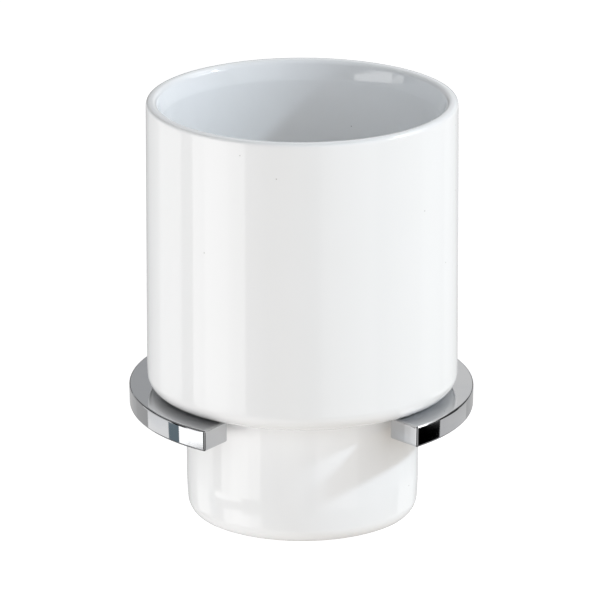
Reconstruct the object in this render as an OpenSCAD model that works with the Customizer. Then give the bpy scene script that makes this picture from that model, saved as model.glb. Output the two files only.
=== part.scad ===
// Toothbrush holder for a bathroom wall.
// A stepped ceramic tumbler hangs by its shoulder in an open cast ring. A boss on the back of
// the ring is screwed to a round cover. The cover slips over a disc that two screws and plugs
// hold to the wall, and a set screw from below locks it there.
// Origin: middle of the disc on the wall face. +Y runs into the wall, -Y to the room, +Z is up.

/* [Tumbler] */
// Outer diameter of the upper body
body_d = 75; // [70:0.5:84]
// Height from the foot to the rim
tumbler_h = 103.6; // [80:0.2:130]
// Outer diameter of the neck below the shoulder
neck_d = 56; // [46:0.5:60]
// Height of the shoulder above the foot
neck_h = 31.4; // [22:0.1:45]
// Thickness of the slip-cast wall
wall_t = 3.8; // [3:0.1:5]
// Thickness of the floor
floor_t = 4.6; // [3.6:0.1:7]
// Outer rounding of the shoulder
shoulder_r = 4.4; // [2:0.1:6]
// Outer rounding of the base
base_r = 4.5; // [2:0.1:7]
// Outer rounding of the rim
rim_r = 1.6; // [0.8:0.1:2.4]
// How much wider the mouth is at its lip than below
lip_flare = 0.8; // [0.4:0.1:1.2]
// Slope of the flared lip, from upright
lip_tilt = 14; // [8:1:30]
// Fillet where the neck meets the shoulder
step_fillet_r = 1; // [0.4:0.1:2]
// Rounding inside, where the floor of the step meets the wall
inner_corner_r = 3; // [1:0.1:5]
// Rounding inside, where the step drops into the neck
inner_edge_r = 3.6; // [1:0.1:5]
// Rounding inside, round the floor
floor_corner_r = 5; // [2:0.1:8]
// Width of the unglazed ring that the tumbler stands on
foot_w = 2.6; // [1.5:0.1:4]
// Depth of the recess inside the foot ring
foot_recess = 1.2; // [0.6:0.1:2]

/* [Ring] */
// Thickness of the ring
ring_t = 5.3; // [3:0.1:8]
// Width of the flat seat under the shoulder
seat_w = 1.2; // [0.8:0.1:2.4]
// Width of the band at its sides
band_side = 9.8; // [6:0.1:14]
// Width that the band would have in front, at the middle of the gap
band_front = 10.8; // [9:0.1:16]
// Width of the band at the back
band_rear = 19.3; // [14:0.1:26]
// Half of the angle that the gap in front takes, seen from the tumbler's axis
gap_half_angle = 37.6; // [20:0.1:42]
// Bevel on every edge of the ring
edge_bevel = 0.6; // [0.2:0.05:1]

/* [Boss] */
// Width of the boss behind the ring
boss_w = 28; // [24:0.5:32]
// Height of the boss
boss_h = 14; // [12:0.5:18]
// Bevel round the front end of the boss
boss_bevel = 2; // [0.5:0.1:3]
// Air between the boss and the tumbler
boss_gap = 1.5; // [1:0.1:3]
// Air between the ring and the cover, above and below the boss
rear_gap = 1.8; // [1:0.1:4]

/* [Cover] */
// Side wall of the cover
cover_side = 3.8; // [3:0.1:6]
// Front wall of the cover
cover_front = 3; // [2.6:0.1:5]
// Rounding of the cover's front edge
cover_edge_r = 1.5; // [0.5:0.1:2.5]
// Air between the cover and the disc inside it, all round
slip_gap = 0.2; // [0.1:0.05:0.5]
// Air between the cover and the front of the disc
face_gap = 1; // [0.4:0.1:2]

/* [Wall disc] */
// Diameter of the disc that is screwed to the wall
disc_d = 38; // [36:0.5:46]
// Thickness of the disc
disc_t = 7; // [6:0.1:10]
// Depth of the groove in the disc's edge
groove_depth = 1.5; // [1:0.1:2]
// Depth of the relief turned into the disc's front
relief_depth = 2; // [1:0.1:3]
// Diameter of the relief turned into the disc's front
relief_d = 12; // [8:0.5:14]

/* [Screws and plugs] */
// Distance between the two wall screws
wall_screw_gap = 24; // [22:0.5:26]
// Length of a wall screw
wall_screw_len = 38; // [34:0.5:50]
// Shank diameter of a wall screw
wall_screw_d = 4; // [3.5:0.1:4.5]
// Core diameter of a wall screw where it runs in its plug
wall_core_d = 3; // [2.6:0.1:3.4]
// Length of a wall screw's point
wall_screw_point = 3; // [2:0.5:5]
// Diameter of a wall plug
plug_d = 6; // [5:0.1:8]
// Length of a wall plug
plug_len = 30; // [25:0.5:40]
// How far a plug lies behind the wall face
plug_sink = 2.5; // [2.2:0.1:5]
// Length of the closed collar at the mouth of a plug
plug_collar = 6; // [4:0.5:10]
// Width of the slit that lets a plug spread
plug_slit = 0.8; // [0.5:0.1:1.2]
// Length of the nose of a plug
plug_nose = 2; // [1:0.5:4]
// How much thinner the end of the nose is, in radius
plug_taper = 1; // [0.2:0.1:1.2]
// Distance between the two screws that hold the ring
ring_screw_gap = 14; // [11:0.5:16]
// Length of a ring screw
ring_screw_len = 12; // [8:0.5:14]
// Diameter of a ring screw
ring_screw_d = 4; // [3:0.1:5]
// Length of the bevelled end of a ring screw
ring_screw_point = 1; // [0.4:0.1:1.5]
// Diameter of the set screw
set_screw_d = 5; // [4:0.1:5.2]
// How deep the set screw's outer end lies in the cover
set_screw_recess = 0.3; // [0.1:0.1:0.8]
// Width across the flats of the set screw's hexagon socket
set_socket_af = 2.5; // [2:0.1:2.6]
// Width across the flats of a ring screw's hexagon socket
ring_socket_af = 2.5; // [2:0.1:2.8]
// Air between a screw and its thread or plug
thread_gap = 0.05; // [0.02:0.01:0.1]
// Air between a screw's shank and its clearance hole
shank_gap = 0.2; // [0.1:0.05:0.4]
// Air between a countersunk head and its seat
head_gap = 0.1; // [0.05:0.05:0.2]

/* [Hidden] */
$fn = 128;
arc_steps = 10;      // straight steps in a rounding of the tumbler
cut = 1;             // how far a cutting tool stands out of what it cuts

ceramic_white = [0.95, 0.96, 0.97];
chrome_grey = [0.76, 0.78, 0.8];
steel_grey = [0.6, 0.61, 0.62];
nylon_grey = [0.72, 0.73, 0.72];

// Tumbler
body_r = body_d / 2;
neck_r = neck_d / 2;
lip_r = wall_t - rim_r - lip_flare;
lip_end_h = (lip_flare + lip_r * (1 - cos(lip_tilt))) / tan(lip_tilt) + lip_r * (1 - sin(lip_tilt));
foot_outer_r = neck_r - base_r;
foot_inner_r = foot_outer_r - foot_w;
step_floor_z = neck_h + wall_t;
body_inner_r = body_r - wall_t;
neck_inner_r = neck_r - wall_t;

// Ring. Its outline is an ellipse, and its bore a circle nearer to the front.
bore_r = body_r - shoulder_r - seat_w;
half_w = bore_r + band_side;
half_l = bore_r + (band_front + band_rear) / 2;
oval_y = (band_rear - band_front) / 2;
corner_r = oval_reach(gap_half_angle);

// Depths from the wall, towards the room
cover_t = disc_t + face_gap + cover_front;
cover_inner_r = disc_d / 2 + slip_gap;
cover_r = cover_inner_r + cover_side;
axis_out = cover_t + rear_gap + bore_r + band_rear;
boss_len = axis_out - body_r - boss_gap - cover_t;
tumbler_z = ring_t / 2 - neck_h;

// Screws
set_screw_out = disc_t / 2;
set_tip_gap = 0.2;
set_screw_len = cover_side + slip_gap + groove_depth - set_screw_recess - set_tip_gap;
set_socket_depth = 2;
ring_socket_depth = 1.6;
cross_slot_w = 0.9;
cross_slot_l = 4.4;
cross_slot_depth = 1.4;

// Points along an arc about (cx, cy), from angle a0 to angle a1
function arc(cx, cy, r, a0, a1) = [
    for (i = [0 : arc_steps])
        let (a = a0 + (a1 - a0) * i / arc_steps)
            [cx + r * cos(a), cy + r * sin(a)]
];

// Distance from the tumbler's axis to the ring's outline, at an angle from straight ahead
function oval_reach(angle) =
    let (
        a = pow(sin(angle) / half_w, 2) + pow(cos(angle) / half_l, 2),
        b = 2 * oval_y * cos(angle) / pow(half_l, 2),
        c = pow(oval_y / half_l, 2) - 1
    )
    (sqrt(b * b - 4 * a * c) - b) / (2 * a);

// Turns what is drawn along +Z so that it runs from the wall out into the room
module out_of_wall(x = 0, out = 0) {
    translate([x, -out, 0])
        rotate([90, 0, 0])
            children();
}

// Puts what is drawn about the tumbler's axis, with the foot at z = 0, in its place
module at_tumbler() {
    translate([0, -axis_out, tumbler_z])
        children();
}

// Puts what is drawn about the tumbler's axis, with the ring's middle plane at z = 0, in place
module at_ring() {
    translate([0, -axis_out, 0])
        children();
}

// Outline of the wall of the tumbler, from its axis to its skin
module tumbler_profile() {
    polygon(concat(
        [[0, foot_recess]],
        [[foot_inner_r - foot_recess, foot_recess]],
        [[foot_inner_r, 0]],
        arc(foot_outer_r, base_r, base_r, -90, 0),
        arc(neck_r + step_fillet_r, neck_h - step_fillet_r, step_fillet_r, 180, 90),
        arc(body_r - shoulder_r, neck_h + shoulder_r, shoulder_r, -90, 0),
        arc(body_r - rim_r, tumbler_h - rim_r, rim_r, 0, 90),
        arc(body_r - rim_r, tumbler_h - lip_r, lip_r, 90, 180 - lip_tilt),
        [[body_inner_r, tumbler_h - lip_end_h]],
        arc(body_inner_r - inner_corner_r, step_floor_z + inner_corner_r, inner_corner_r, 0, -90),
        arc(neck_inner_r + inner_edge_r, step_floor_z - inner_edge_r, inner_edge_r, 90, 180),
        arc(neck_inner_r - floor_corner_r, floor_t + floor_corner_r, floor_corner_r, 0, -90),
        [[0, floor_t]]
    ));
}

// Oval slab with both of its edges bevelled, before it is bored and opened
module oval_blank() {
    translate([0, oval_y, 0])
        scale([half_w / half_l, 1, 1])
            rotate_extrude()
                polygon([
                    [0, -ring_t / 2],
                    [half_l - edge_bevel, -ring_t / 2],
                    [half_l, -ring_t / 2 + edge_bevel],
                    [half_l, ring_t / 2 - edge_bevel],
                    [half_l - edge_bevel, ring_t / 2],
                    [0, ring_t / 2]
                ]);
}

// Bore for the neck, with both of its edges bevelled
module neck_bore() {
    cylinder(h = ring_t + 2 * cut, r = bore_r, center = true);
    for (up = [0, 1])
        mirror([0, 0, up])
            translate([0, 0, ring_t / 2 - edge_bevel])
                cylinder(h = edge_bevel + cut, r1 = bore_r, r2 = bore_r + edge_bevel + cut);
}

// The piece cut out of the front, between two planes through the tumbler's axis
module front_gap() {
    reach = 2 * half_l;
    linear_extrude(height = ring_t + 2 * cut, center = true)
        polygon([
            [0, 0],
            [-reach * tan(gap_half_angle), -reach],
            [reach * tan(gap_half_angle), -reach]
        ]);
}

// Bevels on the four edges of one end of the ring
module end_bevels(side) {
    bar = edge_bevel * sqrt(2);
    rotate([0, 0, side * gap_half_angle]) {
        for (z = [-ring_t / 2, ring_t / 2])
            translate([0, -(bore_r + corner_r) / 2, z])
                rotate([0, 45, 0])
                    cube([bar, half_l - bore_r + 2 * cut, bar], center = true);
        for (r = [bore_r, corner_r])
            translate([0, -r, 0])
                rotate([0, 0, 45])
                    cube([bar, bar, ring_t + 2 * cut], center = true);
    }
}

// Bar with round ends that joins the ring to the cover
module boss() {
    r = boss_h / 2;
    ends_x = boss_w / 2 - r;
    half = [[0, 0], [r, 0], [r, boss_len - boss_bevel], [r - boss_bevel, boss_len], [0, boss_len]];
    out_of_wall(out = cover_t) {
        for (side = [-1, 1])
            translate([side * ends_x, 0, 0])
                rotate([0, 0, -90 * side])
                    rotate_extrude(angle = 180)
                        polygon(half);
        for (up = [0, 1])
            mirror([0, up, 0])
                rotate([90, 0, 90])
                    linear_extrude(height = 2 * ends_x, center = true)
                        polygon(half);
    }
}

// Countersunk seat and clearance hole, drawn with the seat's face at z = 0 and the screw along -Z
module screw_seat(d, through) {
    head_r = d + head_gap;
    hole_r = d / 2 + shank_gap;
    translate([0, 0, -through - cut])
        cylinder(h = through + 2 * cut, r = hole_r);
    translate([0, 0, -(head_r - hole_r)])
        cylinder(h = head_r - hole_r, r1 = hole_r, r2 = head_r);
    cylinder(h = cut, r = head_r);
}

// Hexagon socket, drawn downwards from z = 0
module hex_socket(flats, depth) {
    translate([0, 0, -depth])
        cylinder(h = depth + cut, r = flats / sqrt(3), $fn = 6);
}

// Cross slot, drawn downwards from z = 0
module cross_slot() {
    for (turn = [0, 90])
        rotate([0, 0, turn])
            translate([-cross_slot_l / 2, -cross_slot_w / 2, -cross_slot_depth])
                cube([cross_slot_l, cross_slot_w, cross_slot_depth + cut]);
}

// Countersunk screw along -Z, with the top of its head at z = 0
module countersunk_screw(d, core_d, shank_len, len, point) {
    translate([0, 0, -d / 2])
        cylinder(h = d / 2, r1 = d / 2, r2 = d);
    translate([0, 0, -shank_len])
        cylinder(h = shank_len - d / 2, r = d / 2);
    if (len - point > shank_len)
        translate([0, 0, point - len])
            cylinder(h = len - point - shank_len, r = core_d / 2);
    translate([0, 0, -len])
        cylinder(h = point, r1 = core_d / 6, r2 = core_d / 2);
}

// Ceramic tumbler: turned in one piece, with a neck, a shoulder and an even wall
module tumbler() {
    color(ceramic_white)
        at_tumbler()
            rotate_extrude()
                tumbler_profile();
}

// Cast ring, open in front, with its boss and the two threaded holes in it
module holder_ring() {
    hole_len = ring_screw_len - cover_front + cut;
    color(chrome_grey)
        difference() {
            union() {
                at_ring()
                    difference() {
                        oval_blank();
                        neck_bore();
                        front_gap();
                        for (side = [-1, 1])
                            end_bevels(side);
                    }
                boss();
            }
            for (side = [-1, 1])
                out_of_wall(side * ring_screw_gap / 2, cover_t - cut)
                    cylinder(h = hole_len + cut, r = ring_screw_d / 2 + thread_gap);
        }
}

// Round cover, open to the wall, with seats for the ring's screws and a hole for the set screw
module wall_cover() {
    color(chrome_grey)
        difference() {
            out_of_wall()
                rotate_extrude()
                    polygon(concat(
                        [[0, cover_t - cover_front], [cover_inner_r, cover_t - cover_front]],
                        [[cover_inner_r, 0], [cover_r, 0]],
                        arc(cover_r - cover_edge_r, cover_t - cover_edge_r, cover_edge_r, 0, 90),
                        [[0, cover_t]]
                    ));
            for (side = [-1, 1])
                translate([side * ring_screw_gap / 2, cover_front - cover_t, 0])
                    rotate([-90, 0, 0])
                        screw_seat(ring_screw_d, cover_front);
            translate([0, -set_screw_out, -cover_r - cut])
                cylinder(h = cover_side + 2 * cut, r = set_screw_d / 2 + thread_gap);
        }
}

// Disc on the wall, with a groove round its edge that the set screw bites into
module wall_disc() {
    r = disc_d / 2;
    groove_y = set_screw_out;
    color(steel_grey)
        difference() {
            out_of_wall()
                rotate_extrude()
                    polygon([
                        [0, 0],
                        [r, 0],
                        [r, groove_y - groove_depth],
                        [r - groove_depth, groove_y],
                        [r, groove_y + groove_depth],
                        [r, disc_t],
                        [relief_d / 2, disc_t],
                        [relief_d / 2, disc_t - relief_depth],
                        [0, disc_t - relief_depth]
                    ]);
            for (side = [-1, 1])
                out_of_wall(side * wall_screw_gap / 2, disc_t)
                    screw_seat(wall_screw_d, disc_t);
        }
}

// Set screw, pointing up into the groove of the disc
module set_screw() {
    r = set_screw_d / 2;
    color(steel_grey)
        translate([0, -set_screw_out, set_screw_recess - cover_r])
            difference() {
                union() {
                    cylinder(h = set_screw_len - r, r = r);
                    translate([0, 0, set_screw_len - r])
                        cylinder(h = r, r1 = r, r2 = 0);
                }
                mirror([0, 0, 1])
                    hex_socket(set_socket_af, set_socket_depth);
            }
}

// Machine screw that holds the ring's boss to the cover, driven from inside the cover
module ring_screw(side) {
    color(steel_grey)
        translate([side * ring_screw_gap / 2, cover_front - cover_t, 0])
            rotate([-90, 0, 0])
                difference() {
                    countersunk_screw(
                        ring_screw_d, ring_screw_d, ring_screw_len - ring_screw_point,
                        ring_screw_len, ring_screw_point
                    );
                    hex_socket(ring_socket_af, ring_socket_depth);
                }
}

// Wood screw that holds the disc to the wall
module wall_screw(side) {
    shank_len = disc_t + plug_sink - thread_gap;
    color(steel_grey)
        out_of_wall(side * wall_screw_gap / 2, disc_t)
            difference() {
                countersunk_screw(
                    wall_screw_d, wall_core_d, shank_len, wall_screw_len, wall_screw_point
                );
                cross_slot();
            }
}

// Nylon plug in the wall, slit along both sides behind its collar
module wall_plug(side) {
    r = plug_d / 2;
    color(nylon_grey)
        translate([side * wall_screw_gap / 2, plug_sink, 0])
            rotate([-90, 0, 0])
                difference() {
                    union() {
                        cylinder(h = plug_len - plug_nose, r = r);
                        translate([0, 0, plug_len - plug_nose])
                            cylinder(h = plug_nose, r1 = r, r2 = r - plug_taper);
                    }
                    translate([0, 0, -cut])
                        cylinder(h = plug_len + 2 * cut, r = wall_core_d / 2 + thread_gap);
                    translate([-plug_slit / 2, -r - cut, plug_collar])
                        cube([plug_slit, 2 * (r + cut), plug_len - 2 * plug_collar]);
                }
}

module ring_screw_left() { ring_screw(-1); }
module ring_screw_right() { ring_screw(1); }
module wall_screw_left() { wall_screw(-1); }
module wall_screw_right() { wall_screw(1); }
module wall_plug_left() { wall_plug(-1); }
module wall_plug_right() { wall_plug(1); }

tumbler();
holder_ring();
wall_cover();
wall_disc();
set_screw();
ring_screw_left();
ring_screw_right();
wall_screw_left();
wall_screw_right();
wall_plug_left();
wall_plug_right();
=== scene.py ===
"""Looks of a toothbrush holder: a glazed tumbler that hangs in an open chrome ring on a wall."""
import logging
import math
from dataclasses import dataclass
from enum import Enum
from functools import cache
from typing import Mapping, Sequence, TypeAlias

import bmesh
import bpy
from mathutils import Matrix, Vector


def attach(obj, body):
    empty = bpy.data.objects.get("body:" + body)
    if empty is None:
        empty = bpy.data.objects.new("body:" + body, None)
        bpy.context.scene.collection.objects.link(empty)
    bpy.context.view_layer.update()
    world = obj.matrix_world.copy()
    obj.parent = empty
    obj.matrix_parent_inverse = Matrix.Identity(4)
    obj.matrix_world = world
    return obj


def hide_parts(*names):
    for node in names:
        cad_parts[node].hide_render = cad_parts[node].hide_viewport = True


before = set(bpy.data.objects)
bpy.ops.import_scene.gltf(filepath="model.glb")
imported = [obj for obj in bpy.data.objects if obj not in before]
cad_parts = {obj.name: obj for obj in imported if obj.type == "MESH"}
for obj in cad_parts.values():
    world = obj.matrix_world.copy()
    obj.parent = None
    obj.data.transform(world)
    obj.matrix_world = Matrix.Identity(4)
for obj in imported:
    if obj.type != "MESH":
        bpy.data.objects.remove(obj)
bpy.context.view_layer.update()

LOG = logging.getLogger("toothbrush_holder")
MM = 0.001
HALF_TURN = 180.0
FULL_TURN = 360.0
# The attribute that marks the roots of a thread on its mesh
ROOT = "root"

Colour = tuple[float, float, float]
Point = tuple[float, float]
Value: TypeAlias = "Wire | float | int | Sequence[float]"


# Nodes


def pick(sockets: Sequence[bpy.types.NodeSocket], key: "str | int") -> bpy.types.NodeSocket:
    """A node's socket.

    Args:
        sockets: The node's inputs or outputs.
        key: The socket's place, identifier or name.

    Returns:
        The socket, and of several with one name the one in use.
    """
    if isinstance(key, int):
        return sockets[key]
    by_id = [s for s in sockets if s.identifier == key]
    return (by_id or [s for s in sockets if s.name == key and s.enabled])[0]


def rgba(colour: Colour) -> tuple[float, float, float, float]:
    """A colour with full opacity."""
    return (*colour, 1.0)


def darker(colour: Colour, share: float) -> Colour:
    """A colour with only a share of its light."""
    return tuple(c * share for c in colour)


class Wire:
    """A socket that Python's operators combine with others by adding Math nodes."""

    def __init__(self, graph: "Graph", socket: bpy.types.NodeSocket | None) -> None:
        """Keeps the socket and the graph that it belongs to."""
        self.graph = graph
        self.socket = socket

    def of(self, key: "str | int") -> "Wire":
        """Another output of the same node."""
        return Wire(self.graph, pick(self.socket.node.outputs, key))

    def math(self, operation: str, *others: Value) -> "Wire":
        """Adds one Math node.

        Args:
            operation: The Math node's operation.
            others: What stands behind this wire in it.

        Returns:
            The node's result.
        """
        inputs = dict(enumerate([self, *others]))
        return self.graph.add("ShaderNodeMath", {"operation": operation}, inputs)

    def _from(self, operation: str, first: Value) -> "Wire":
        """A Math node with this wire in second place."""
        inputs = {0: first, 1: self}
        return self.graph.add("ShaderNodeMath", {"operation": operation}, inputs)

    def __add__(self, other: Value) -> "Wire":
        """The sum."""
        return self.math("ADD", other)

    def __radd__(self, other: Value) -> "Wire":
        """The sum, with the wire second."""
        return self._from("ADD", other)

    def __sub__(self, other: Value) -> "Wire":
        """The difference."""
        return self.math("SUBTRACT", other)

    def __rsub__(self, other: Value) -> "Wire":
        """The difference, with the wire second."""
        return self._from("SUBTRACT", other)

    def __mul__(self, other: Value) -> "Wire":
        """The product."""
        return self.math("MULTIPLY", other)

    def __rmul__(self, other: Value) -> "Wire":
        """The product, with the wire second."""
        return self._from("MULTIPLY", other)

    def __truediv__(self, other: Value) -> "Wire":
        """The quotient."""
        return self.math("DIVIDE", other)

    def __rtruediv__(self, other: Value) -> "Wire":
        """The quotient, with the wire second."""
        return self._from("DIVIDE", other)

    def rise(self, low: Value, high: Value) -> "Wire":
        """A smooth step.

        Args:
            low: Where it leaves 0.
            high: Where it reaches 1.

        Returns:
            0 below, 1 above, and a smooth change between.
        """
        inputs = {"Value": self, "From Min": low, "From Max": high}
        settings = {"interpolation_type": "SMOOTHSTEP"}
        return self.graph.add("ShaderNodeMapRange", settings, inputs)


class Graph:
    """Adds nodes to one node tree."""

    def __init__(self, tree: bpy.types.NodeTree) -> None:
        """Keeps the tree."""
        self.tree = tree

    def add(
        self,
        kind: str,
        settings: Mapping[str, object] | None = None,
        inputs: Mapping["str | int", object] | None = None,
        output: "str | int" = 0,
    ) -> Wire:
        """Adds a node.

        Args:
            kind: The node's type.
            settings: The node's properties, which are set first.
            inputs: Values or wires for its inputs.
            output: The output that is wanted.

        Returns:
            That output; a node that ends its tree has none.
        """
        node = self.tree.nodes.new(kind)
        for key, value in (settings or {}).items():
            setattr(node, key, value)
        for key, value in (inputs or {}).items():
            socket = pick(node.inputs, key)
            if isinstance(value, Wire):
                self.tree.links.new(value.socket, socket)
            else:
                socket.default_value = value
        socket = pick(node.outputs, output) if node.outputs else None
        return Wire(self, socket)

    def split(self, vector: Wire) -> tuple[Wire, Wire, Wire]:
        """The three parts of a vector."""
        parts = self.add("ShaderNodeSeparateXYZ", inputs={0: vector})
        return parts.of("X"), parts.of("Y"), parts.of("Z")

    def mix(self, first: object, second: object, share: Value) -> Wire:
        """Mixes two colours.

        Args:
            first: The colour at share 0.
            second: The colour at share 1.
            share: How much of the second.

        Returns:
            The mixed colour.
        """
        inputs = {"Factor_Float": share, "A_Color": first, "B_Color": second}
        return self.add("ShaderNodeMix", {"data_type": "RGBA"}, inputs, "Result_Color")

    def bump(self, height: Wire, depth: float, under: Wire | None = None) -> Wire:
        """A normal from a height.

        Args:
            height: The height, from 0 to 1.
            depth: What a height of 1 stands for, in metres.
            under: A normal that this one is laid over.

        Returns:
            The normal.
        """
        inputs = {"Height": height, "Distance": depth, "Strength": 1.0}
        if under is not None:
            inputs["Normal"] = under
        return self.add("ShaderNodeBump", inputs=inputs)


@dataclass(frozen=True)
class Noise:
    """Noise with so many features per metre and finer layers, finer or longer along an axis.

    It lies about 0.5, or rises from 0 to 1 between two of its values.
    """

    scale: float
    detail: float = 2.0
    span: Point | None = None
    by_axis: tuple[float, float, float] | None = None

    def over(self, graph: Graph, spot: Wire) -> Wire:
        """The noise over a surface.

        Args:
            graph: Where its nodes go.
            spot: The coordinates.

        Returns:
            The noise.
        """
        if self.by_axis:
            inputs = {0: spot, 1: self.by_axis}
            spot = graph.add("ShaderNodeVectorMath", {"operation": "MULTIPLY"}, inputs)
        inputs = {"Vector": spot, "Scale": self.scale, "Detail": self.detail}
        noise = graph.add("ShaderNodeTexNoise", inputs=inputs)
        return noise.rise(*self.span) if self.span else noise


# Finishes


@dataclass(frozen=True)
class Finish:
    """What all finishes share: a name and the making of the material."""

    name: str

    @cache
    def material(self) -> bpy.types.Material:
        """The finish as a material, in place of the plain one of its name.

        Returns:
            The material, made once.
        """
        made = bpy.data.materials.get(self.name) or bpy.data.materials.new(self.name)
        made.use_nodes = True
        made.node_tree.nodes.clear()
        graph = Graph(made.node_tree)
        spot = graph.add("ShaderNodeTexCoord", output="Object")
        surface = self.surface(graph, spot)
        graph.add("ShaderNodeOutputMaterial", inputs={"Surface": surface})
        return made

    def surface(self, graph: Graph, spot: Wire) -> Wire:
        """The shader.

        Args:
            graph: Where its nodes go.
            spot: The object's coordinates.

        Returns:
            The shader's output.
        """
        raise NotImplementedError

    def principled(self, graph: Graph, **inputs: object) -> Wire:
        """The main shader node, whose inputs are named with underscores for spaces."""
        named = {key.replace("_", " "): value for key, value in inputs.items()}
        return graph.add("ShaderNodeBsdfPrincipled", inputs=named)


@dataclass(frozen=True)
class Glaze(Finish):
    """White glaze with faint swells and a few specks, wiped off the ring that the tumbler stands on."""

    axis_y: float = -64.0 * MM
    foot_z: float = -28.75 * MM
    wiped_h: float = 0.85 * MM
    wiped_from_r: float = 20.2 * MM
    wiped_soft: float = 0.04 * MM
    wiped_from_soft: float = 0.1 * MM
    wave: Noise = Noise(260.0, 1.0)
    wave_height: float = 0.3 * MM
    white: Colour = (0.905, 0.908, 0.912)
    warm: Colour = (0.895, 0.9, 0.9)
    tone: Noise = Noise(34.0, 2.0, (0.3, 0.7))
    speck: Colour = (0.34, 0.33, 0.32)
    speck_spots: float = 360.0
    speck_size: Point = (0.03, 0.075)
    speck_rarity: float = 0.965
    speck_strength: float = 0.75
    clay: Colour = (0.74, 0.72, 0.68)
    clay_shade: float = 0.86
    grain: Noise = Noise(2600.0, 3.0)
    grain_span: Point = (0.35, 0.7)
    grain_depth: float = 0.05 * MM
    clay_rough: float = 0.7
    swell: Noise = Noise(52.0, 1.0)
    peel: Noise = Noise(420.0, by_axis=(1.0, 1.0, 0.12))
    peel_share: float = 0.06
    depth: float = 0.012 * MM
    rough: float = 0.02
    haze: Noise = Noise(120.0, 2.0, (0.35, 0.75))
    haze_rough: float = 0.03
    refraction: float = 1.53

    def wiped(self, graph: Graph, spot: Wire) -> Wire:
        """Where the glaze is wiped off, up to a slightly wavy edge.

        Args:
            graph: Where its nodes go.
            spot: The object's coordinates.

        Returns:
            1 on bare clay and 0 on glaze.
        """
        x, y, z = graph.split(spot)
        behind, soft = y - self.axis_y, self.wiped_soft
        out = (x * x + behind * behind).math("SQRT")
        wave = (self.wave.over(graph, spot) - 0.5) * self.wave_height
        edge = self.foot_z + self.wiped_h
        low = 1.0 - (z + wave).rise(edge - soft, edge + soft)
        return low * out.rise(self.wiped_from_r, self.wiped_from_r + self.wiped_from_soft)

    def specks(self, graph: Graph, spot: Wire) -> Wire:
        """The few dark specks in the glaze.

        Args:
            graph: Where its nodes go.
            spot: The object's coordinates.

        Returns:
            1 on a speck and 0 beside it.
        """
        inputs = {"Vector": spot, "Scale": self.speck_spots}
        cells = graph.add("ShaderNodeTexVoronoi", inputs=inputs)
        chosen = graph.split(cells.of("Color"))[0].math("GREATER_THAN", self.speck_rarity)
        return (1.0 - cells.of("Distance").rise(*self.speck_size)) * chosen

    def surface(self, graph: Graph, spot: Wire) -> Wire:
        """The glaze, with bare clay where it is wiped off.

        Args:
            graph: Where its nodes go.
            spot: The object's coordinates.

        Returns:
            The shader's output.
        """
        bare = self.wiped(graph, spot)
        glaze = graph.mix(rgba(self.white), rgba(self.warm), self.tone.over(graph, spot))
        specks = self.specks(graph, spot) * self.speck_strength
        glaze = graph.mix(glaze, rgba(self.speck), specks)
        grain = self.grain.over(graph, spot)
        shaded = rgba(darker(self.clay, self.clay_shade))
        clay = graph.mix(rgba(self.clay), shaded, grain.rise(*self.grain_span))
        height = self.swell.over(graph, spot) + self.peel.over(graph, spot) * self.peel_share
        rough = self.rough + self.haze_rough * self.haze.over(graph, spot)
        return self.principled(
            graph,
            Base_Color=graph.mix(glaze, clay, bare),
            Roughness=rough + bare * self.clay_rough,
            IOR=self.refraction,
            Normal=graph.bump(grain * bare, self.grain_depth, graph.bump(height, self.depth)),
        )


@dataclass(frozen=True)
class Chrome(Finish):
    """Polished chrome plate over a casting: a faint swell, fine wiping marks and thin smears."""

    tint: Colour = (0.56, 0.565, 0.575)
    cool: Colour = (0.53, 0.54, 0.56)
    rough: float = 0.03
    smear: Noise = Noise(95.0, 3.0, (0.45, 0.8), (1.0, 1.0, 2.5))
    smear_rough: float = 0.035
    marks: Noise = Noise(700.0, 3.0, by_axis=(0.6, 1.0, 7.0))
    mark_span: Point = (0.62, 0.72)
    mark_rough: float = 0.02
    mark_share: float = 0.02
    swell: Noise = Noise(95.0, 1.0)
    depth: float = 0.03 * MM

    def surface(self, graph: Graph, spot: Wire) -> Wire:
        """The plate.

        Args:
            graph: Where its nodes go.
            spot: The object's coordinates.

        Returns:
            The shader's output.
        """
        smear, marks = self.smear.over(graph, spot), self.marks.over(graph, spot)
        rough = self.rough + smear * self.smear_rough
        return self.principled(
            graph,
            Base_Color=graph.mix(rgba(self.tint), rgba(self.cool), smear),
            Metallic=1.0,
            Roughness=rough + marks.rise(*self.mark_span) * self.mark_rough,
            Normal=graph.bump(self.swell.over(graph, spot) + marks * self.mark_share, self.depth),
        )


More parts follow.
